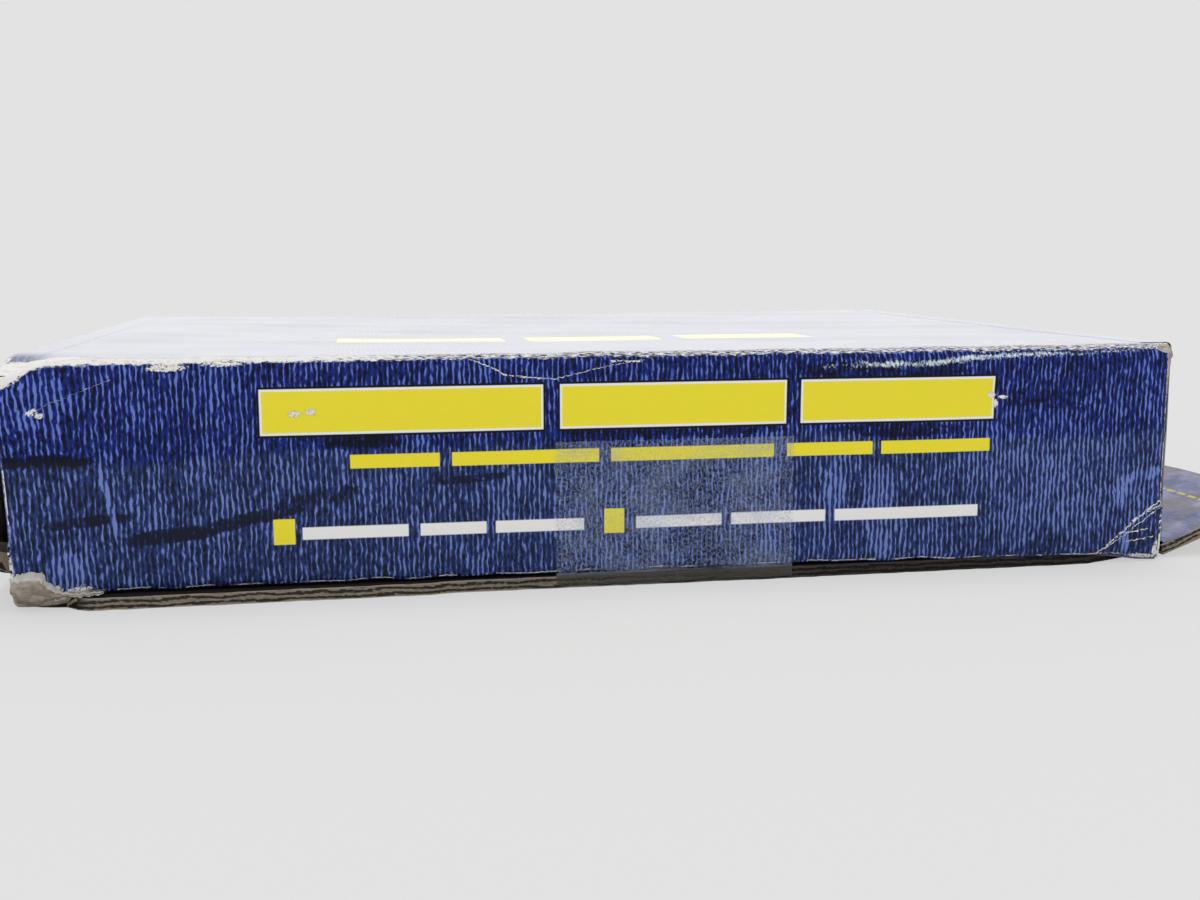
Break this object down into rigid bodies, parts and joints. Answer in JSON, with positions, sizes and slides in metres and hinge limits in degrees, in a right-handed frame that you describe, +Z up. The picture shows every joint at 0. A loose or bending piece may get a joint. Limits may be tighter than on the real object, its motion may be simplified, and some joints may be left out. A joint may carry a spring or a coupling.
{
  "type": "printed cardboard carton",
  "caption": "Worn flat carton of corrugated board with a blue denim print: a sleeve with hinged end flaps, a splayed tuck flap and a strip of clear mending tape.",
  "frame": {"origin": "middle of the bottom face, on the surface that the carton lies on", "axes": "+X along the carton's length towards the end with the splayed tuck flap, +Y from the taped front panel to the back, +Z up"},
  "size_m": [0.2976, 0.2054, 0.051],
  "materials": {
    "printed_board": "satin",
    "clear_tape": "gloss"
  },
  "bodies": {
    "carton": {"carton_sleeve": "printed_board", "clear_tape": "clear_tape"},
    "right_flap": {"right_end_flap": "printed_board"},
    "right_tuck": {"right_tuck_flap": "printed_board"},
    "left_flap": {"left_end_flap": "printed_board"}
  },
  "joints": [
    {"name": "right_flap_hinge", "type": "hinge", "parent": "carton", "child": "right_flap", "pos_m": [0.1286, 0, 0.0497], "axis": [0, -1, 0], "range_deg": [0, 170]},
    {"name": "right_tuck_hinge", "type": "hinge", "parent": "right_flap", "child": "right_tuck", "pos_m": [0.1299, 0, 0.003], "axis": [0, -1, 0], "range_deg": [-17, 60]},
    {"name": "left_flap_hinge", "type": "hinge", "parent": "carton", "child": "left_flap", "pos_m": [-0.1286, 0, 0.0497], "axis": [0, 1, 0], "range_deg": [-5, 170]}
  ]
}
